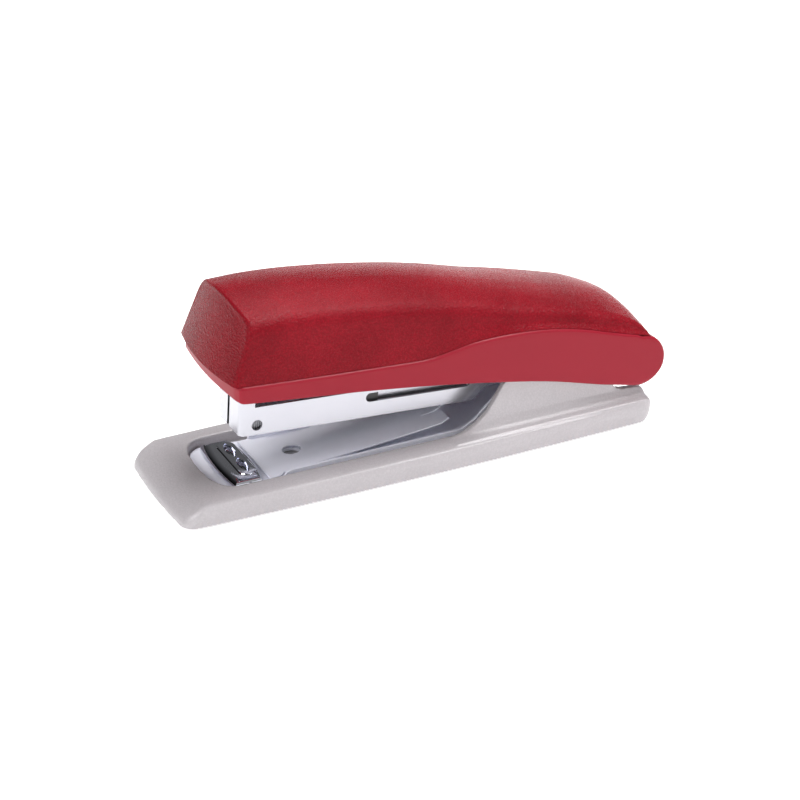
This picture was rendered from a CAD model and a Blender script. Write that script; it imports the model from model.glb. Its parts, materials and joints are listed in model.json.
"""Looks of a half-strip desktop stapler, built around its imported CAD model.

Pieces are drawn in millimetres. Base and handle pieces use the stapler frame (x = 0 at the middle of
the base); magazine pieces are drawn level about the hinge pin and pitched to the rest pose.
"""
import json
import math

import bmesh
import bpy
from mathutils import Matrix, Vector


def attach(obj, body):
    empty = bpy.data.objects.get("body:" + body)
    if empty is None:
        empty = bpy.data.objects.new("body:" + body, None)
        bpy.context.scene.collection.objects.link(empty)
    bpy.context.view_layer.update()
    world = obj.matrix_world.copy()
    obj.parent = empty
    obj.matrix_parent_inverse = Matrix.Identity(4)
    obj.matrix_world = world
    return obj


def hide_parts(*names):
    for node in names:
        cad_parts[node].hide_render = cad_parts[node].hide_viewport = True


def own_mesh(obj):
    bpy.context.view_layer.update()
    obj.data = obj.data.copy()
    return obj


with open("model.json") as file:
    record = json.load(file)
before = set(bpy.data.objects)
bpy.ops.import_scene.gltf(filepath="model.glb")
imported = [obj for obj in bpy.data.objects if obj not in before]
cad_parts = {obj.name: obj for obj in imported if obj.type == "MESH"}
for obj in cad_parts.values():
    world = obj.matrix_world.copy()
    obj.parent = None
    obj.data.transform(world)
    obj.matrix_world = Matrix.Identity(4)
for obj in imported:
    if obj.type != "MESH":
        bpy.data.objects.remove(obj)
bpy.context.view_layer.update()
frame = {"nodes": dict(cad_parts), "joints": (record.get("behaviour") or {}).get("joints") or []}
JOINTS = {j["name"]: j for j in frame["joints"]}
NODES = frame["nodes"]

MM = 0.001
PIN_X, PIN_Z, PIN_HOLE = 61.9, 17.5, 2.3
REST_PITCH = 3.8
PIN = Vector(JOINTS["handle_hinge"]["pos_m"])
CENTRE_X = PIN_X - PIN.x / MM
AT_BASE = Matrix.Translation((-CENTRE_X * MM, 0.0, 0.0)) @ Matrix.Scale(MM, 4)
AT_MAGAZINE = (Matrix.Translation(PIN) @ Matrix.Rotation(math.radians(REST_PITCH), 4, "Y")
               @ Matrix.Scale(MM, 4))

BASE_FRONT, BASE_REAR, BASE_WIDTH, BASE_BOW, NOSE_BOW = -65.0, 66.0, 39.8, 1.1, 0.6
BASE_BOTTOM, BASE_TOP = 0.4, 6.4
RECESS_HALF, RECESS_FRONT, NOTCH_FRONT, RECESS_FLOOR = 13.3, -53.6, 57.0, 3.0
PLATE_STEEL, PLATE_BOTTOM, PLATE_TOP, PLATE_HALF = 0.7, 3.3, 4.0, 11.6
ANVIL_X, ANVIL_TOP, ANVIL_RIVET_Y = -44.2, 6.05, 9.4
UPRIGHT_WALL = 1.7
MAG_HALF, MAG_BOTTOM, MAG_FRONT, FLOOR_FRONT = 7.3, -8.75, -106.7, -104.5
WALL_TOP, WALL_RAISED, FRONT_TOP, SLIT_HALF = -1.4, 1.5, 0.8, 0.6
ROD_Z, RAIL_REAR, RAIL_WALL = -4.9, -44.0, 0.8
STRIP_FRONT, STRIP_LENGTH, STAPLE_HALF, STAPLE_TOP, STAPLE_LEG = -104.7, 26.0, 6.4, -1.7, 6.0
PUSHER_LENGTH = 9.0
HANDLE_HALF, HANDLE_WALL, SHELL_WALL, CHEEK_RADIUS = 17.8, 2.1, 1.9, 7.07
SHELL_LOW, SHELL_HIGH, SHELL_BOW, SHELL_REAR = -49.8, -43.3, 2.1, 64.8
FRAME_FRONT, FRAME_BOW = -48.9, 1.5
FRAME_CORNER, LEDGE = 1.3, 0.5
GAP, PARTING = 0.3, 0.06
LEAF_STEEL, LIFT_STEEL, LIFT_HALF, LIFT_RIVET_X = 0.4, 0.4, 4.6, 18.5

SHELL_EDGE = ((-49.8, 34.7), (-27.0, 33.1), (-8.0, 31.9), (1.0, 31.5), (7.0, 32.3), (14.0, 33.3),
              (24.0, 33.4), (34.0, 32.5), (44.0, 30.4), (54.0, 27.3), (64.8, 24.2))
CROWN = ((-43.9, 50.9), (-34.0, 51.0), (-22.0, 50.1), (-6.0, 47.9), (10.0, 44.8), (27.0, 40.3),
         (45.0, 35.4), (54.0, 32.9), (59.0, 31.2), (62.3, 29.5), (64.8, 26.8))
LOWER_EDGE = ((-50.0, 30.5), (-46.5, 29.9), (-20.0, 26.9), (-7.0, 25.2), (7.0, 23.1), (20.0, 20.8),
              (35.0, 17.7), (50.0, 13.5), (61.3, 10.43))
LEAF_LINE = ((-38.7, 4.6), (-30.0, 5.0), (-19.0, 5.7), (-8.0, 6.6), (3.0, 7.6), (11.5, 8.5))


# ---- mesh helpers ------------------------------------------------------------------------------
def through(rows, x):
    """Height at x of the smooth line through the rows."""
    if x <= rows[0][0]:
        return rows[0][1]
    if x >= rows[-1][0]:
        return rows[-1][1]
    last = len(rows) - 1
    i = max(k for k in range(last) if rows[k][0] <= x)

    def slope(k):
        low, high = max(k - 1, 0), min(k + 1, last)
        return (rows[high][1] - rows[low][1]) / (rows[high][0] - rows[low][0])

    span = rows[i + 1][0] - rows[i][0]
    t = (x - rows[i][0]) / span
    rise = (2 * t**3 - 3 * t**2 + 1) * rows[i][1] + (3 * t**2 - 2 * t**3) * rows[i + 1][1]
    return rise + ((t**3 - 2 * t**2 + t) * slope(i) + (t**3 - t**2) * slope(i + 1)) * span


def straight(rows, x):
    """Height at x of the straight runs between the rows."""
    for (x0, z0), (x1, z1) in zip(rows, rows[1:]):
        if x <= x1:
            return z0 + (z1 - z0) * max(0.0, x - x0) / (x1 - x0)
    return rows[-1][1]


def steps(low, high, count):
    return [low + (high - low) * i / (count - 1) for i in range(count)]


def arc(centre, radius, start, end, count):
    turn = [math.radians(a) for a in steps(start, end, count)]
    return [(centre[0] + radius * math.cos(a), centre[1] + radius * math.sin(a)) for a in turn]


def turns(start, end, count):
    """Cosine and sine of evenly spaced angles."""
    return [(math.cos(math.radians(a)), math.sin(math.radians(a))) for a in steps(start, end, count)]


def rounded_box(low, high, radius, count=9):
    (x0, y0), (x1, y1) = low, high
    return (arc((x1 - radius, y0 + radius), radius, -90, 0, count)
            + arc((x1 - radius, y1 - radius), radius, 0, 90, count)
            + arc((x0 + radius, y1 - radius), radius, 90, 180, count)
            + arc((x0 + radius, y0 + radius), radius, 180, 270, count))


def grown(bm, rings, closed=True):
    """Adds a skin through rings of equal length, and returns its rows of vertices."""
    rows = [[bm.verts.new(Vector(p)) for p in ring] for ring in rings]
    for low, high in zip(rows, rows[1:]):
        for i in range(len(low) if closed else len(low) - 1):
            j = (i + 1) % len(low)
            bm.faces.new((low[i], low[j], high[j], high[i]))
    return rows


def loft(rings):
    bm = bmesh.new()
    rows = grown(bm, rings)
    bm.faces.new(rows[0])
    bm.faces.new(rows[-1])
    bmesh.ops.recalc_face_normals(bm, faces=bm.faces)
    return bm


def prism(outline, low, high, axis):
    lift = {"X": lambda p, t: (t, p[0], p[1]),
            "Y": lambda p, t: (p[0], t, p[1]),
            "Z": lambda p, t: (p[0], p[1], t)}[axis]
    return loft([[lift(p, t) for p in outline] for t in (low, high)])


def box(low, high):
    return prism([(low[0], low[1]), (high[0], low[1]), (high[0], high[1]), (low[0], high[1])],
                 low[2], high[2], "Z")


def disc(centre, radius, low, high, axis, count=48):
    return prism(arc(centre, radius, 0, 360 - 360 / count, count), low, high, axis)


def mirrored(bm):
    copy = bm.copy()
    bmesh.ops.scale(copy, vec=(1, -1, 1), verts=copy.verts)
    bmesh.ops.reverse_faces(copy, faces=copy.faces)
    return copy


def made(name, bm, place):
    """A new object from a solid drawn in millimetres."""
    bmesh.ops.transform(bm, matrix=place, verts=bm.verts)
    mesh = bpy.data.meshes.new(name)
    bm.to_mesh(mesh)
    bm.free()
    obj = bpy.data.objects.new(name, mesh)
    bpy.context.scene.collection.objects.link(obj)
    return obj


def settle(obj):
    """Applies the modifiers to the mesh."""
    mesh = bpy.data.meshes.new_from_object(obj.evaluated_get(bpy.context.evaluated_depsgraph_get()))
    obj.modifiers.clear()
    obj.data = mesh
    mesh.name = obj.name


def shape(obj, operation, place, *solids):
    tools = []
    for bm in solids:
        tool = made("tool", bm, place)
        step = obj.modifiers.new("shape", "BOOLEAN")
        step.operation = operation
        step.object = tool
        tools.append(tool)
    settle(obj)
    for tool in tools:
        bpy.data.objects.remove(tool)


def eased(obj, width, segments=2, angle=30):
    """Rounds the edges."""
    step = obj.modifiers.new("edges", "BEVEL")
    step.width = width * MM
    step.segments = segments
    step.limit_method = "ANGLE"
    step.angle_limit = math.radians(angle)
    step.use_clamp_overlap = True
    settle(obj)


def moulded(obj, voxel, passes):
    """Blends every edge and corner, as a mould does."""
    step = obj.modifiers.new("skin", "REMESH")
    step.mode = "VOXEL"
    step.voxel_size = voxel * MM
    soft = obj.modifiers.new("soft", "SMOOTH")
    soft.factor = 0.5
    soft.iterations = passes
    settle(obj)


def smooth(obj, angle=35, even=False):
    obj.data.shade_smooth()
    obj.data.set_sharp_from_angle(angle=math.radians(angle))
    if even:
        step = obj.modifiers.new("even", "WEIGHTED_NORMAL")
        step.keep_sharp = True
        step.weight = 100
        settle(obj)


def placed(obj, finish, slot, body, *nodes):
    """Gives a piece its finish and slot, and puts it on its body in place of its CAD node."""
    obj.data.materials.clear()
    obj.data.materials.append(finish)
    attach(obj, body)
    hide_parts(*nodes)


# ---- finishes ----------------------------------------------------------------------------------
def finish(name, colour, roughness, metallic=0.0, **sockets):
    mat = bpy.data.materials.new(name)
    mat.use_nodes = True
    tree = mat.node_tree
    shader = tree.nodes["Principled BSDF"]
    shader.inputs["Base Color"].default_value = (*colour, 1.0)
    shader.inputs["Roughness"].default_value = roughness
    shader.inputs["Metallic"].default_value = metallic
    for key, value in sockets.items():
        shader.inputs[key.replace("_", " ")].default_value = value
    return mat, tree, shader


def add(tree, kind, links=(), **settings):
    """A node with its settings, its sockets set by name or linked from other sockets."""
    node = tree.nodes.new(kind)
    for key, value in settings.items():
        if hasattr(node, key) and key != "inputs":
            setattr(node, key, value)
        else:
            node.inputs[key.replace("_", " ")].default_value = value
    for key, source in links:
        tree.links.new(source, node.inputs[key])
    return node


def noise(tree, coords, scale, detail=3.0, roughness=0.55):
    return add(tree, "ShaderNodeTexNoise", [("Vector", coords)], Scale=scale, Detail=detail,
               Roughness=roughness)


def ramp(tree, source, stops):
    node = add(tree, "ShaderNodeValToRGB", [("Fac", source)])
    node.color_ramp.elements[0].position, node.color_ramp.elements[1].position = stops[0][0], stops[-1][0]
    for i, (position, value) in enumerate(stops):
        if 0 < i < len(stops) - 1:
            element = node.color_ramp.elements.new(position)
        else:
            element = node.color_ramp.elements[0 if i == 0 else -1]
        element.color = (*value, 1.0) if hasattr(value, "__len__") else (value, value, value, 1.0)
    return node.outputs["Color"]


def times(tree, first, second):
    """The product of two colours."""
    node = add(tree, "ShaderNodeMix", data_type="RGBA", blend_type="MULTIPLY")
    node.inputs["Factor"].default_value = 1.0
    tree.links.new(first, node.inputs[6])
    tree.links.new(second, node.inputs[7])
    return node.outputs[2]


def bump(tree, shader, height, strength, distance, before=None):
    node = add(tree, "ShaderNodeBump", [("Height", height)], Strength=strength, Distance=distance)
    if before is not None:
        tree.links.new(before.outputs["Normal"], node.inputs["Normal"])
    tree.links.new(node.outputs["Normal"], shader.inputs["Normal"])
    return node


def grained(name, colour, shade, roughness, scale, depth, rub, **sockets):
    """Moulded plastic with a leather grain: pebbles and the darker valleys between them."""
    mat, tree, shader = finish(name, colour, roughness, **sockets)
    coords = add(tree, "ShaderNodeTexCoord").outputs["Object"]
    warp = noise(tree, coords, scale * 0.6, 2.0)
    shift = add(tree, "ShaderNodeVectorMath", [(0, warp.outputs["Color"])], operation="SCALE")
    shift.inputs["Scale"].default_value = 0.8 / scale
    mixed = add(tree, "ShaderNodeVectorMath", [(0, coords), (1, shift.outputs["Vector"])],
                operation="ADD")
    cells = add(tree, "ShaderNodeTexVoronoi", [("Vector", mixed.outputs["Vector"])],
                feature="SMOOTH_F1", Scale=scale, Smoothness=0.6)
    fine = noise(tree, coords, scale * 2.4, 2.0)
    height = add(tree, "ShaderNodeMix", [("A", cells.outputs["Distance"]), ("B", fine.outputs["Fac"])],
                 Factor=0.35)
    first = bump(tree, shader, height.outputs["Result"], 1.0, depth)
    broad = noise(tree, coords, 60.0, 3.0)
    bump(tree, shader, broad.outputs["Fac"], 0.06, 0.0004, first)
    tone = ramp(tree, broad.outputs["Fac"], ((0.3, shade), (0.7, colour)))
    valley = ramp(tree, height.outputs["Result"], ((0.15, 1.0), (0.6, rub)))
    tree.links.new(times(tree, tone, valley), shader.inputs["Base Color"])
    gloss = ramp(tree, fine.outputs["Fac"], ((0.3, roughness - 0.07), (0.7, roughness + 0.08)))
    tree.links.new(gloss, shader.inputs["Roughness"])
    return mat


def satin(name, colour, shade, roughness, depth, scale=900.0, **sockets):
    """Smooth moulded plastic: faint flow marks and a trace of orange peel."""
    mat, tree, shader = finish(name, colour, roughness, **sockets)
    coords = add(tree, "ShaderNodeTexCoord").outputs["Object"]
    broad = noise(tree, coords, 45.0, 4.0)
    fine = noise(tree, coords, scale, 2.0)
    tone = ramp(tree, broad.outputs["Fac"], ((0.3, shade), (0.7, colour)))
    tree.links.new(tone, shader.inputs["Base Color"])
    gloss = ramp(tree, broad.outputs["Fac"], ((0.25, roughness - 0.05), (0.75, roughness + 0.06)))
    tree.links.new(gloss, shader.inputs["Roughness"])
    bump(tree, shader, fine.outputs["Fac"], 0.5, depth)
    return mat


def steel(name, colour, shade, roughness, stretch=(1.0, 1.0, 1.0), scale=900.0, depth=0.000004, metal=1.0,
          drawn_in=1.0, **sockets):
    """Metal with fine drawn lines along its length and cloudy plating."""
    mat, tree, shader = finish(name, colour, roughness, metal, **sockets)
    coords = add(tree, "ShaderNodeTexCoord").outputs["Object"]
    drawn = add(tree, "ShaderNodeMapping", [("Vector", coords)])
    drawn.inputs["Scale"].default_value = stretch
    lines = noise(tree, drawn.outputs["Vector"], scale, 3.0)
    cloud = noise(tree, coords, 80.0, 3.0)
    tone = ramp(tree, cloud.outputs["Fac"], ((0.3, shade), (0.7, colour)))
    tree.links.new(tone, shader.inputs["Base Color"])
    gloss = ramp(tree, lines.outputs["Fac"], ((0.35, max(roughness - 0.03 * drawn_in, 0.02)),
                                              (0.75, roughness + 0.06 * drawn_in)))
    tree.links.new(gloss, shader.inputs["Roughness"])
    bump(tree, shader, lines.outputs["Fac"], 0.2, depth)
    return mat


RED = grained("red_grained", (0.285, 0.0092, 0.0182), (0.205, 0.0062, 0.0125), 0.24, 2100.0, 0.00020, 0.66,
              Specular_IOR_Level=0.07)
BAND_RED = satin("red_satin", (0.260, 0.0112, 0.0230), (0.245, 0.0103, 0.0212), 0.34, 0.000008,
                 Specular_IOR_Level=0.14)
GREY = grained("grey_moulded", (0.455, 0.428, 0.446), (0.435, 0.409, 0.426), 0.32, 1900.0, 0.00005, 0.89,
               Specular_IOR_Level=0.50)
RUBBER = satin("black_rubber", (0.035, 0.035, 0.036), (0.025, 0.025, 0.026), 0.75, 0.00003)
NICKEL = steel("bright_nickel", (0.49, 0.49, 0.532), (0.47, 0.47, 0.51), 0.24, (0.06, 1.0, 1.0),
               depth=0.0000006, metal=0.75, drawn_in=0.4)
CHROME = steel("polished_chrome", (0.90, 0.91, 1.0), (0.87, 0.88, 0.968), 0.30, (0.08, 1.0, 1.0), 700.0,
               depth=0.0000001, metal=0.25, drawn_in=0.2)
MIRROR = steel("mirror_chrome", (0.76, 0.77, 0.84), (0.72, 0.73, 0.80), 0.10, (0.3, 1.0, 1.0), 500.0,
               depth=0.0000008)
SHEARED = steel("sheared_edge", (0.035, 0.035, 0.037), (0.02, 0.02, 0.022), 0.55, depth=0.00001, metal=0.5)
SPRING = steel("spring_steel", (0.40, 0.41, 0.44), (0.34, 0.35, 0.38), 0.24, (0.05, 1.0, 1.0))
WIRE = steel("galvanised_wire", (0.24, 0.24, 0.26), (0.19, 0.19, 0.205), 0.30, (1.0, 0.1, 0.1), 1500.0)
NYLON = satin("black_nylon", (0.030, 0.030, 0.032), (0.022, 0.022, 0.024), 0.45, 0.00001)


# ---- base --------------------------------------------------------------------------------------
def base_plan(front_in, side_in, rear_in, corner):
    rear_corner = 2.8
    front, rear = BASE_FRONT + front_in, BASE_REAR - rear_in

    def side(x):
        return BASE_WIDTH / 2 - BASE_BOW * (x / BASE_REAR)**2 - side_in

    edge = [(rear, 0.0), (rear, 0.5 * (rear_corner - side(rear)))]
    edge += arc((rear - rear_corner, rear_corner - side(rear)), rear_corner, 0, -90, 9)
    edge += [(x, -side(x)) for x in steps(rear - rear_corner, front + corner, 40)[1:-1]]
    edge += arc((front + corner, corner - side(front)), corner, -90, -180, 13)
    flank = side(front) - corner
    edge += [(front - NOSE_BOW * (1 - (y / flank)**2), y) for y in steps(-flank, 0.0, 12)[1:]]
    return edge + [(x, -y) for x, y in reversed(edge[1:-1])]


def recess_plan(inset, rear):
    half = RECESS_HALF - inset
    corner = 5.6 - inset
    shift = RECESS_FRONT + inset + 1.0 + corner
    near = arc((shift, corner - half), corner, -90, -165, 12)
    nose = [(RECESS_FRONT + inset + 1.6 * (y / RECESS_HALF)**2, y)
            for y in steps(-0.55 * RECESS_HALF, 0.55 * RECESS_HALF, 15)]
    far = arc((shift, half - corner), corner, 165, 90, 12)
    return near + nose + far + [(rear, half), (rear, -half)]


def base_body():
    # height, then how far the front, side and rear stand in, and the corner radius
    rows = ((BASE_BOTTOM, 0.6, 0.25, 1.3, 3.4), (1.4, 0.8, 0.05, 0.7, 3.3), (2.6, 1.5, 0.0, 0.3, 3.0),
            (3.9, 2.9, 0.0, 0.1, 2.5), (5.0, 4.7, 0.27, 0.0, 2.0), (5.75, 6.3, 0.5, 0.1, 1.6),
            (6.1, 7.4, 1.5, 0.3, 1.8), (6.3, 8.4, 3.2, 0.6, 2.2), (BASE_TOP, 9.4, 4.8, 1.2, 2.8))
    levels = steps(BASE_BOTTOM, 3.9, 8) + [4.45, 5.0, 5.4, 5.75, 5.95, 6.1, 6.2, 6.3, 6.36, BASE_TOP]
    rings = []
    for z in levels:
        insets = [through([(r[0], r[1]) for r in rows], z)]
        insets += [straight([(r[0], r[k]) for r in rows], z) for k in (2, 3, 4)]
        rings.append([(x, y, z) for x, y in base_plan(*insets)])
    obj = made("base_body", loft(rings), AT_BASE)

    line = [(8.0, 5.0), (8.0, 6.2), (12.2, 7.0), (16.0, 9.1), (19.0, 11.8), (21.2, 15.4), (23.2, 18.8),
            (26.5, 21.0), (31.0, 22.0)]
    line += arc((PIN_X, PIN_Z), 5.6, 100, -140, 40)
    line += [(55.6, 12.4), (55.3, 11.2), (56.2, 10.1), (58.2, 9.4), (62.9, 9.1), (64.2, 8.5),
             (64.9, 7.1), (64.9, 5.0)]
    wall = prism(line, RECESS_HALF, RECESS_HALF + UPRIGHT_WALL, "Y")

    foot = RECESS_HALF + UPRIGHT_WALL
    rises = ((8.5, 0.1), (12.0, 0.8), (17.0, 2.2), (23.0, 3.0), (54.0, 2.9), (62.9, 2.6), (64.2, 2.0),
             (64.9, 0.6))
    fall = ((0.0, 1.0), (0.7, 0.50), (1.7, 0.20), (3.0, 0.03), (3.4, 0.0))
    cove = []
    for x in steps(8.5, 62.9, 40) + [64.2, 64.9]:
        rise = through(rises, x)
        cove.append([(x, foot - 0.9, 5.0), (x, foot - 0.9, BASE_TOP + rise)]
                    + [(x, foot + d, BASE_TOP + rise * through(fall, d)) for d in steps(0.0, 3.2, 12)]
                    + [(x, foot + 3.4, 5.0)])
    flare = loft(cove)
    shape(obj, "UNION", AT_BASE, wall, mirrored(wall), flare, mirrored(flare))

    recess = prism(recess_plan(0.0, NOTCH_FRONT + 1.0), RECESS_FLOOR, BASE_TOP + 4.0, "Z")
    notch = box((NOTCH_FRONT, -RECESS_HALF, -1.0), (BASE_REAR + 1.0, RECESS_HALF, BASE_TOP + 4.0))
    pocket = prism(rounded_box((-46.0, -14.5), (46.0, 14.5), 4.0), -1.0, 1.6, "Z")
    bore = disc((PIN_X, PIN_Z), PIN_HOLE, -20, 20, "Y")
    holes = [disc((ANVIL_X, y), 3.0, 0.0, RECESS_FLOOR + 1.0, "Z")
             for y in (-ANVIL_RIVET_Y, ANVIL_RIVET_Y)]
    seats = [prism(rounded_box((x - 3.3, y - 4.8), (x + 3.3, y + 4.8), 2.7), -1.0, 1.3, "Z")
             for x in (-51.0, 51.0) for y in (-11.5, 11.5)]
    well = prism(rounded_box((-30.6, -2.0), (-26.4, 2.0), 1.95, 12), 2.0, 4.0, "Z")
    shape(obj, "DIFFERENCE", AT_BASE, recess, notch, pocket, bore, well, *holes, *seats)
    moulded(obj, 0.3, 2)
    smooth(obj, 60)
    placed(obj, GREY, "base_plastic", "base", "base_shell")


def base_tray():
    outline = [p for p in recess_plan(0.5, 0.0) if p[0] < -40.0]
    outline += [(-38.0, PLATE_HALF), (55.0, PLATE_HALF), (55.0, -PLATE_HALF), (-38.0, -PLATE_HALF)]
    obj = made("base_tray", prism(outline, PLATE_BOTTOM, PLATE_TOP, "Z"), AT_BASE)
    edge = [(-36.0, PLATE_BOTTOM), (-35.4, 5.0), (-34.6, 5.9), (-33.4, 6.2), (13.0, 6.4), (17.0, 8.4),
            (21.0, 12.2), (26.0, 17.5), (31.0, 19.6)]
    edge += arc((PIN_X, PIN_Z), 5.0, 105, -140, 36)
    edge += [(54.5, 10.0), (54.5, PLATE_BOTTOM)]
    ear = prism(edge, PLATE_HALF - PLATE_STEEL, PLATE_HALF, "Y")
    shape(obj, "UNION", AT_BASE, ear, mirrored(ear))
    holes = [disc((ANVIL_X, y), 1.8, 0.0, BASE_TOP, "Z") for y in (-ANVIL_RIVET_Y, ANVIL_RIVET_Y)]
    well = prism(rounded_box((-31.2, -2.6), (-25.8, 2.6), 2.55, 12), 2.0, 5.0, "Z")
    shape(obj, "DIFFERENCE", AT_BASE, disc((PIN_X, PIN_Z), PIN_HOLE, -20, 20, "Y"), well, *holes)
    eased(obj, 0.16)
    smooth(obj, even=True)
    placed(obj, CHROME, "polished_steel", "base", "base_plate")


def anvil():
    """The clinching block: rounded shoulders, a stadium boss and two crescent grooves."""
    def plan(inset):
        half = 11.4 - inset
        ends = steps(-1.0, 1.0, 25)
        return ([(-49.2 + inset + 0.9 * t * t, half * t) for t in ends]
                + [(-39.3 - inset - 1.6 * t * t, half * t) for t in reversed(ends)])

    tall, deep = ANVIL_TOP - PLATE_TOP - GAP, 2.1
    layers = [(PLATE_TOP + GAP + tall * math.sin(math.radians(a)), deep - deep * math.cos(math.radians(a)))
              for a in steps(0, 90, 13)]
    obj = made("anvil", loft([[(x, y, z) for x, y in plan(inset)] for z, inset in layers]), AT_BASE)
    boss = []
    for z, inset in ((5.0, -0.25), (5.9, -0.25), (6.0, -0.1), (6.15, 0.05), (6.3, 0.14), (BASE_TOP, 0.4)):
        outline = rounded_box((-45.6 + inset, -8.9 + inset), (-41.0 - inset, 8.9 - inset), 2.2 - inset, 12)
        boss.append([(x, y, z) for x, y in outline])
    shape(obj, "UNION", AT_BASE, loft(boss))
    grooves = []
    for side in (-1, 1):
        rings = []
        for z, wide in ((5.0, 0.12), (5.06, 0.4), (5.3, 0.7), (5.8, 0.92), (6.3, 1.0),
                        (BASE_TOP + 1.0, 1.04)):
            ring = []
            for turn, span in ((1, steps(0, 1, 25)), (-1, steps(1, 0, 25)[1:-1])):
                ring += [(ANVIL_X + 0.9 + 1.2 * wide * math.sin(math.pi * t) * turn,
                          side * (4.1 + 3.95 * (2 * t - 1) * (0.7 + 0.3 * wide))) for t in span]
            rings.append([(x, y, z) for x, y in ring])
        grooves.append(loft(rings))
    shape(obj, "DIFFERENCE", AT_BASE, *grooves)
    bores = [disc((ANVIL_X, y), 1.8, 0.0, 5.2, "Z") for y in (-ANVIL_RIVET_Y, ANVIL_RIVET_Y)]
    shape(obj, "DIFFERENCE", AT_BASE, *bores)
    smooth(obj, 32, even=True)
    placed(obj, MIRROR, "polished_steel", "base", "anvil_block")


def spring_leaf():
    """The long strip that lifts the magazine: an open hole, small edge notches and a rear tongue."""
    def strip(line):
        return loft([[(x, -near, z - LEAF_STEEL), (x, far, z - LEAF_STEEL), (x, far, z), (x, -near, z)]
                     for x, near, far, z in line])

    stations = []
    for x in steps(LEAF_LINE[0][0], LEAF_LINE[-1][0], 80):
        widen = 1.3 * max(0.0, min(1.0, (-34.6 - x) / 1.2))
        narrow = 1.1 * max(0.0, min(1.0, (x - 9.0) / 2.0))
        notch = 1.4 * max(0.0, min(1.0, (x + 31.5) / 0.7))
        stations.append((x, 9.1 + widen - narrow, 9.1 + widen - max(narrow, notch), through(LEAF_LINE, x)))
    obj = made("spring_leaf", strip(stations), AT_BASE)
    rows = ((6.0, 8.0), (9.5, 8.5), (12.0, 9.8), (14.5, 11.3), (17.5, 11.7))
    tongue = [(x, 3.0, 3.0, through(rows, x)) for x in steps(6.0, 17.5, 24)]
    shape(obj, "UNION", AT_BASE, strip(tongue))
    slot = rounded_box((-30.9, -2.3), (-26.1, 2.3), 2.25, 12)
    shape(obj, "DIFFERENCE", AT_BASE, prism(slot, 3.0, 8.0, "Z"))
    eased(obj, 0.1)
    smooth(obj, even=True)
    placed(obj, CHROME, "polished_steel", "base", "return_leaf")
    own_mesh(obj)


# ---- magazine ----------------------------------------------------------------------------------
def magazine_body():
    """Folded channel: walls and front in one fold, a floor, the side slots and the round holes."""
    inner, floor_top = MAG_HALF - PLATE_STEEL, MAG_BOTTOM + PLATE_STEEL
    bend, corner = 1.5, 0.8
    back = MAG_FRONT + PLATE_STEEL
    fold = [(MAG_FRONT, SLIT_HALF)] + arc((MAG_FRONT + bend, MAG_HALF - bend), bend, 180, 90, 14)
    fold += [(6.0, MAG_HALF), (6.0, inner)]
    fold += arc((back + corner, inner - corner), corner, 90, 180, 8) + [(back, SLIT_HALF)]
    sheet = prism(fold, MAG_BOTTOM - 1.0, 6.0, "Z")
    obj = made("magazine_body", sheet.copy(), AT_MAGAZINE)
    shape(obj, "UNION", AT_MAGAZINE, mirrored(sheet))
    sheet.free()
    edge = [(-110.0, MAG_BOTTOM), (-42.9, MAG_BOTTOM), (-41.9, -8.1), (-41.1, -6.9), (-40.2, -5.9),
            (-38.7, -5.2), (-8.0, -4.3)]
    edge += arc((0.0, 0.0), 4.6, -115, 115, 40)
    edge += [(-12.0, 3.4), (-22.0, WALL_RAISED), (-75.0, WALL_RAISED), (-76.2, 0.9), (-77.0, WALL_TOP),
             (-102.9, WALL_TOP), (-102.9, FRONT_TOP), (-110.0, FRONT_TOP)]
    shape(obj, "INTERSECT", AT_MAGAZINE, prism(edge, -10.0, 10.0, "Y"))
    wide = inner + 0.35
    shape(obj, "UNION", AT_MAGAZINE, box((FLOOR_FRONT, -wide, MAG_BOTTOM + 0.01), (-43.3, wide, floor_top)))
    slot = rounded_box((-73.2, -4.7), (-44.0, -2.3), 1.19, 12)
    nose_hole, pin_hole = disc((-102.2, -6.2), 1.4, -20, 20, "Y"), disc((0.0, 0.0), PIN_HOLE, -20, 20, "Y")
    rivet_hole = disc((-49.0, 0.0), 1.5, -12, floor_top + 1.0, "Z")
    shape(obj, "DIFFERENCE", AT_MAGAZINE, prism(slot, -20, 20, "Y"), nose_hole, pin_hole, rivet_hole)
    eased(obj, 0.13)
    smooth(obj, even=True)
    placed(obj, NICKEL, "plated_steel", "magazine", "magazine_channel")
    obj.data.materials.append(SHEARED)
    level = AT_MAGAZINE.inverted()
    for face in obj.data.polygons:
        middle = level @ face.center
        if abs(middle.y) < SLIT_HALF + 0.05 and middle.x < MAG_FRONT + 1.0:
            face.material_index = 1


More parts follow.
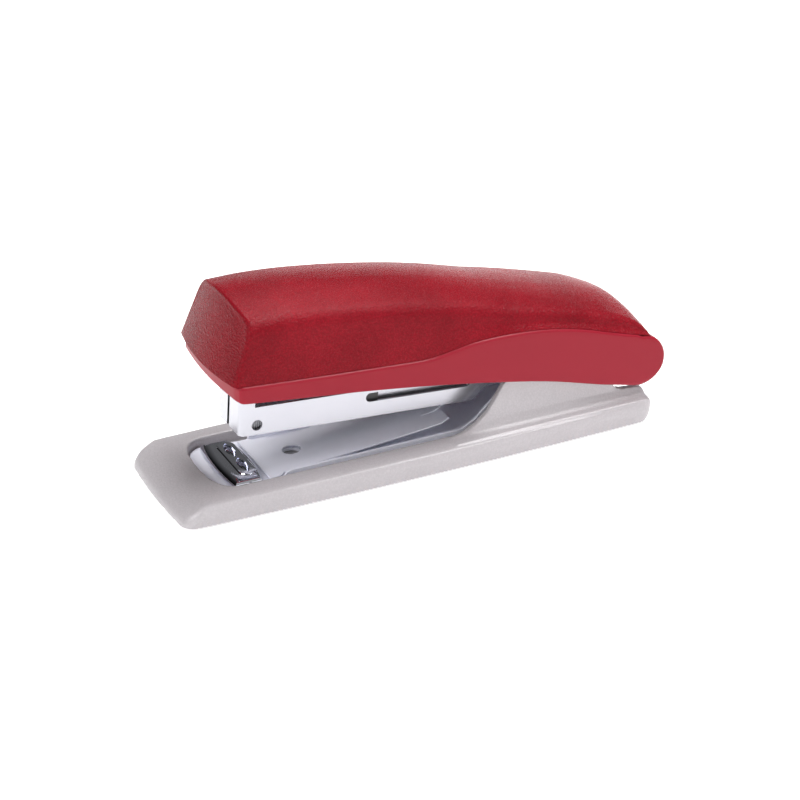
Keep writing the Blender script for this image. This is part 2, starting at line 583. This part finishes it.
def staples():
    """A stick of staples, each a flattened wire bent to a crown and two legs."""
    pitch, wire, bend = 0.52, 0.25, 0.7
    half = STAPLE_HALF - wire
    top = STAPLE_TOP - wire
    line = [(-half, STAPLE_TOP - STAPLE_LEG)] + arc((bend - half, top - bend), bend, 180, 90, 5)
    line += arc((half - bend, top - bend), bend, 90, 0, 5) + [(half, STAPLE_TOP - STAPLE_LEG)]
    bm = bmesh.new()
    for i in range(int(STRIP_LENGTH / pitch)):
        x = STRIP_FRONT + pitch * (i + 0.5)
        rings = []
        for k, (y, z) in enumerate(line):
            before, after = line[max(k - 1, 0)], line[min(k + 1, len(line) - 1)]
            along = Vector((0.0, after[0] - before[0], after[1] - before[1])).normalized()
            out = Vector((0.0, -along.z, along.y))
            rings.append([Vector((x, y, z)) + Vector((1, 0, 0)) * wire * a + out * wire * b
                          for a, b in ((-0.98, -0.6), (-0.6, -1), (0.6, -1), (0.98, -0.6), (0.98, 0.6),
                                       (0.6, 1), (-0.6, 1), (-0.98, 0.6))])
        rows = grown(bm, rings)
        bm.faces.new(rows[0])
        bm.faces.new(rows[-1])
    bmesh.ops.recalc_face_normals(bm, faces=bm.faces)
    obj = made("staples", bm, AT_MAGAZINE)
    smooth(obj, 50)
    placed(obj, WIRE, "staple_wire", "magazine", "staple_strip")


def feed_spring():
    """Compression spring on the guide rod, with closed ends."""
    wire, radius, turns, per_turn = 0.25, 1.75, 12, 28
    start = STRIP_FRONT + STRIP_LENGTH + PUSHER_LENGTH + 2 * GAP + wire
    end = RAIL_REAR - RAIL_WALL - GAP - wire
    count = turns * per_turn
    rings = []
    for i in range(count + 1):
        t = i / count
        a = 2 * math.pi * turns * t
        ease = max(0.0, min(1.0, (t * turns - 0.6) / (turns - 1.2)))
        x = start + (end - start) * ease
        radial = Vector((0.0, math.cos(a), math.sin(a)))
        centre = Vector((x, 0.0, ROD_Z)) + radial * radius
        rings.append([centre + radial * wire * math.cos(b) + Vector((wire * math.sin(b), 0, 0))
                      for b in [math.tau * k / 10 for k in range(10)]])
    obj = made("feed_spring", loft(rings), AT_MAGAZINE)
    smooth(obj, 60)
    placed(obj, SPRING, "spring_steel", "magazine", "pusher_spring")
    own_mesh(obj)


# ---- handle ------------------------------------------------------------------------------------
def shell_half(foot, top, inset, crown_drop, fine):
    """Right half of a cross-section, from the foot up to the middle of the crown."""
    foot_half = HANDLE_HALF - LEDGE - inset
    shoulder = HANDLE_HALF - 1.9 - inset
    rise = top - foot
    radius = min(4.4, 0.7 * (rise - crown_drop))
    mid = (0.35 * foot_half + 0.65 * shoulder + 0.25, foot + 0.5 * (rise - crown_drop - radius))
    end = (shoulder, top - crown_drop - radius)
    points = []
    for t in steps(0.0, 1.0, 5 * fine):
        a, b, c = 2 * (t - 0.5) * (t - 1), 4 * t * (1 - t), 2 * t * (t - 0.5)
        points.append((a * foot_half + b * mid[0] + c * end[0], a * foot + b * mid[1] + c * end[1]))
    points += arc((shoulder - radius, top - crown_drop - radius), radius, 0, 90, 6 * fine)[1:]
    flat = shoulder - radius
    points += [(y, top - crown_drop * (y / flat)**2) for y in steps(flat, 0.0, 5 * fine)[1:]]
    for _ in range(3 * fine):
        inside = [((a[0] + 2 * b[0] + c[0]) / 4, (a[1] + 2 * b[1] + c[1]) / 4)
                  for a, b, c in zip(points, points[1:], points[2:])]
        points = [points[0]] + inside + [points[-1]]
    return points


def shell_section(low_x, inset, shift, drop=0.0, fine=3):
    """A closed cross-section of the cover; it leans and bows forward towards the front."""
    t = (low_x - SHELL_LOW) / (SHELL_REAR - SHELL_LOW)
    fade = max(0.0, 1.0 - t / 0.35)**2
    lean, bow = (SHELL_HIGH - SHELL_LOW) * fade, SHELL_BOW * fade
    foot, top = through(SHELL_EDGE, low_x) - drop, through(CROWN, low_x + lean) - inset
    crown_drop = min(1.3 + 1.1 * max(0.0, (low_x - 54.0) / (SHELL_REAR - 54.0)), 0.88 * (top - foot))
    half = shell_half(foot, top, inset, crown_drop, fine)
    full = half + [(-y, z) for y, z in reversed(half[:-1])]
    full += [(y * half[0][0], foot) for y in (-0.75, -0.5, -0.25, 0.0, 0.25, 0.5, 0.75)]

    def at(y, z):
        back = lean * (z - foot) / (top - foot)
        return (low_x + shift + back - bow * (1 - (y / HANDLE_HALF)**2), y, z)

    return [at(y, z) for y, z in full], half, at


def top_cover():
    radius = 1.0
    bm = bmesh.new()
    rings = []
    for c, s in turns(90, 0, 8):
        rings.append(shell_section(SHELL_LOW + radius * (1 - s), radius * (1 - c), 0.0)[0])
    rings += [shell_section(x, 0.0, 0.0)[0] for x in steps(SHELL_LOW + radius, SHELL_REAR - 0.5, 110)[1:]]
    for c, s in turns(0, 90, 5)[1:]:
        rings.append(shell_section(SHELL_REAR - 0.5 * (1 - s), 0.5 * (1 - c), 0.0)[0])
    rows = grown(bm, rings)
    bm.faces.new(rows[-1])

    _, half, at = shell_section(SHELL_LOW, radius, 0.0)
    across = 14
    for low, high in zip(half, half[1:]):
        rows = []
        for y, z in (low, high):
            rows.append([bm.verts.new(at(v, z)) for v in steps(y, -y, across)])
        for i in range(across - 1):
            bm.faces.new((rows[0][i], rows[0][i + 1], rows[1][i + 1], rows[1][i]))
    bmesh.ops.remove_doubles(bm, verts=bm.verts, dist=0.002)
    rim = [e for e in bm.edges if e.is_boundary]
    if rim:
        bmesh.ops.holes_fill(bm, edges=rim)
    bmesh.ops.recalc_face_normals(bm, faces=bm.faces)
    obj = made("top_cover", bm, AT_BASE)
    hollow = []
    for x in steps(SHELL_LOW + 2.6, SHELL_REAR - SHELL_WALL, 40):
        hollow.append(shell_section(x, SHELL_WALL, 0.0, 6.0, 1)[0])
    shape(obj, "DIFFERENCE", AT_BASE, loft(hollow))
    smooth(obj, 40)
    placed(obj, RED, "shell_plastic", "handle", "top_shell")


def frame_plan():
    """The band's plan line, from the right cheek round the front to the left cheek."""
    corner, flank = FRAME_CORNER, HANDLE_HALF - FRAME_CORNER
    side = [PIN_X + CHEEK_RADIUS * math.cos(math.radians(a)) for a in steps(3.0, 90.0, 26)]
    side += steps(PIN_X, FRAME_FRONT + corner, 76)[1:-1]
    line = [(x, -HANDLE_HALF) for x in side]
    line += arc((FRAME_FRONT + corner, -flank), corner, 270, 190, 14)
    bow = [(FRAME_FRONT - FRAME_BOW * (1 - (y / HANDLE_HALF)**2), y) for y in steps(0.5 - flank, 0.0, 14)]
    line += bow
    return line + [(x, -y) for x, y in reversed(line[:-1])]


def lower_band():
    """Side walls and cheeks, joined round the front, with rounded edges."""
    line = frame_plan()
    rings = []
    for k, (x, y) in enumerate(line):
        before, after = line[max(k - 1, 0)], line[min(k + 1, len(line) - 1)]
        along = Vector((after[0] - before[0], after[1] - before[1])).normalized()
        inward = Vector((along.y, -along.x))
        reach = math.sqrt(max(CHEEK_RADIUS**2 - max(x - PIN_X, -0.6)**2, 0.0))
        high = through(SHELL_EDGE, x) - PARTING
        low = through(LOWER_EDGE, x)
        if x > PIN_X - 0.6:
            high, low = min(high, PIN_Z + reach), PIN_Z - reach
        tall = high - low
        round_low = min(0.55 + 0.9 * max(0.0, min(1.0, (x - 50.0) / 11.0)), 0.45 * tall)
        round_high, thin = min(0.85, 0.45 * tall), min(0.25, 0.3 * tall)
        section = [(round_low - round_low * c, low + round_low - round_low * s)
                   for c, s in turns(90, 0, 6)]
        section += [(0.0, z) for z in steps(low + round_low, high - round_high, 12)[1:-1]]
        section += [(round_high - round_high * c, high - round_high + round_high * s)
                    for c, s in turns(0, 90, 6)]
        section += [(HANDLE_WALL - thin, high), (HANDLE_WALL, high - thin),
                    (HANDLE_WALL, low + thin), (HANDLE_WALL - thin, low)]
        in_corner = x < FRAME_FRONT + FRAME_CORNER and abs(y) > HANDLE_HALF - FRAME_CORNER
        ring = []
        for depth, z in section:
            far = math.hypot(x - PIN_X, z - PIN_Z)
            edge = 0.9
            over = far - (CHEEK_RADIUS - edge)
            if x > PIN_X and over > 0 and depth < 1.0:
                depth = max(depth, edge - math.sqrt(max(edge**2 - min(over, edge)**2, 0.0)))
            if depth > FRAME_CORNER and in_corner:
                ring.append((FRAME_FRONT - 0.15 + depth, math.copysign(HANDLE_HALF - depth, y), z))
            else:
                ring.append((x + inward.x * depth, y + inward.y * depth, z))
        rings.append(ring)
    skin = loft(rings)
    bmesh.ops.remove_doubles(skin, verts=skin.verts, dist=0.001)
    obj = made("lower_band", skin, AT_BASE)
    inner = HANDLE_HALF - HANDLE_WALL
    ribs = [box((x, -inner - 0.5, low), (x + 1.8, inner + 0.5, high))
            for x, low, high in ((-25.0, 30.6, 32.0), (15.0, 26.5, 28.2))]
    shape(obj, "UNION", AT_BASE, *ribs)
    shape(obj, "DIFFERENCE", AT_BASE, disc((PIN_X, PIN_Z), PIN_HOLE, -16.6, 16.6, "Y"))
    smooth(obj, 40)
    placed(obj, BAND_RED, "frame_plastic", "handle", "handle_frame")


def handle_spring():
    """Flat spring under the bracket; its front end reaches down between the magazine's walls."""
    seat = 38.6 - 0.125 * (LIFT_RIVET_X + 42.0) - 1.0 - GAP
    rows = ((-1.0, 25.6), (1.5, 24.3), (4.0, 24.5), (7.5, 26.8), (11.5, seat - 0.3), (15.5, seat + 0.35),
            (22.5, seat - 0.5))
    rings = [[(x, -LIFT_HALF, z - LIFT_STEEL), (x, LIFT_HALF, z - LIFT_STEEL), (x, LIFT_HALF, z),
              (x, -LIFT_HALF, z)]
             for x, z in [(x, through(rows, x)) for x in steps(-1.0, 22.5, 40)]]
    obj = made("handle_spring", loft(rings), AT_BASE)
    shape(obj, "DIFFERENCE", AT_BASE, disc((LIFT_RIVET_X, 0.0), 1.5, 20.0, 40.0, "Z"))
    eased(obj, 0.08)
    smooth(obj)
    placed(obj, SPRING, "spring_steel", "handle", "lift_spring")


def carried_over():
    """CAD nodes that keep their shape get their full finish."""
    looks = {RUBBER: ("foot_front_right", "foot_front_left", "foot_rear_right", "foot_rear_left"),
             CHROME: ("anvil_rivet_right", "anvil_rivet_left"),
             NICKEL: ("hinge_pin", "hinge_spacer_left", "hinge_spacer_right", "staple_rail", "rail_rivet",
                      "hinge_bush", "handle_bracket", "blade_rivet", "lift_spring_rivet"),
             SPRING: ("guide_rod", "driver_blade"),
             NYLON: ("pusher",)}
    for look, names in looks.items():
        for name in names:
            for slot in NODES[name].material_slots:
                slot.material = look


# ---- stage -------------------------------------------------------------------------------------
def stage():
    mat, tree, shader = finish("paper_floor", (0.80, 0.80, 0.80), 0.9, Specular_IOR_Level=0.0)
    shader.inputs["Emission Color"].default_value = (1.0, 1.0, 1.0, 1.0)
    shader.inputs["Emission Strength"].default_value = 0.55
    bm = bmesh.new()
    bmesh.ops.create_grid(bm, x_segments=1, y_segments=1, size=3.0)
    floor = made("floor", bm, Matrix.Identity(4))
    floor.data.materials.append(mat)

    world = bpy.data.worlds.new("studio")
    bpy.context.scene.world = world
    world.use_nodes = True
    tree = world.node_tree
    coords = add(tree, "ShaderNodeTexCoord").outputs["Generated"]
    split = add(tree, "ShaderNodeSeparateXYZ", [("Vector", coords)])
    sky = ramp(tree, split.outputs["Z"], ((0.0, 0.20), (0.3, 0.30), (0.6, 0.34), (1.0, 0.30)))
    side = ramp(tree, add(tree, "ShaderNodeMapRange", [("Value", split.outputs["X"])], From_Min=-0.45,
                          From_Max=0.25).outputs["Result"], ((0.0, 0.05), (1.0, 1.0)))
    far = ramp(tree, add(tree, "ShaderNodeMapRange", [("Value", split.outputs["Y"])], From_Min=0.2,
                         From_Max=0.75).outputs["Result"], ((0.0, 1.0), (1.0, 0.35)))
    background = tree.nodes["Background"]
    tree.links.new(times(tree, times(tree, sky, side), far), background.inputs["Color"])
    background.inputs["Strength"].default_value = 1.0

    def lamp(name, place, aim, wide, deep, power):
        data = bpy.data.lights.new(name, "AREA")
        data.shape = "RECTANGLE"
        data.size, data.size_y = wide, deep
        data.energy = power
        obj = bpy.data.objects.new(name, data)
        bpy.context.scene.collection.objects.link(obj)
        obj.location = place
        obj.rotation_euler = (Vector(place) - Vector(aim)).to_track_quat("Z", "Y").to_euler()

    lamp("overhead_strip", (0.32, 0.08, 0.78), (0.02, 0.0, 0.02), 1.1, 0.11, 13.0)
    lamp("front_left", (-0.80, -0.25, 0.58), (0.0, 0.0, 0.02), 0.6, 0.6, 7.5)
    lamp("near_side", (0.25, -1.0, 0.40), (0.0, 0.0, 0.02), 0.9, 0.6, 1.9)


def camera():
    azimuth, elevation, roll, distance = -0.461660, 0.476976, 0.0030, 0.5557
    target = Vector((1.613 - CENTRE_X, 0.0, 12.007)) * MM
    back = Vector((math.sin(azimuth) * math.cos(elevation), -math.cos(azimuth) * math.cos(elevation),
                   math.sin(elevation)))
    right = Vector((math.cos(azimuth), math.sin(azimuth), 0.0))
    up = back.cross(right)
    c, s = math.cos(roll), math.sin(roll)
    right, up = right * c + up * s, up * c - right * s
    data = bpy.data.cameras.new("camera")
    data.lens, data.sensor_width = 99.0, 36.0
    data.clip_start, data.clip_end = 0.01, 20.0
    obj = bpy.data.objects.new("camera", data)
    bpy.context.scene.collection.objects.link(obj)
    turn = Matrix((right, up, back)).transposed().to_4x4()
    obj.matrix_world = Matrix.Translation(target + back * distance) @ turn
    bpy.context.scene.camera = obj


base_body()
base_tray()
anvil()
spring_leaf()
magazine_body()
staples()
feed_spring()
top_cover()
lower_band()
handle_spring()
carried_over()
stage()
camera()
bpy.context.scene.view_settings.view_transform = "Standard"
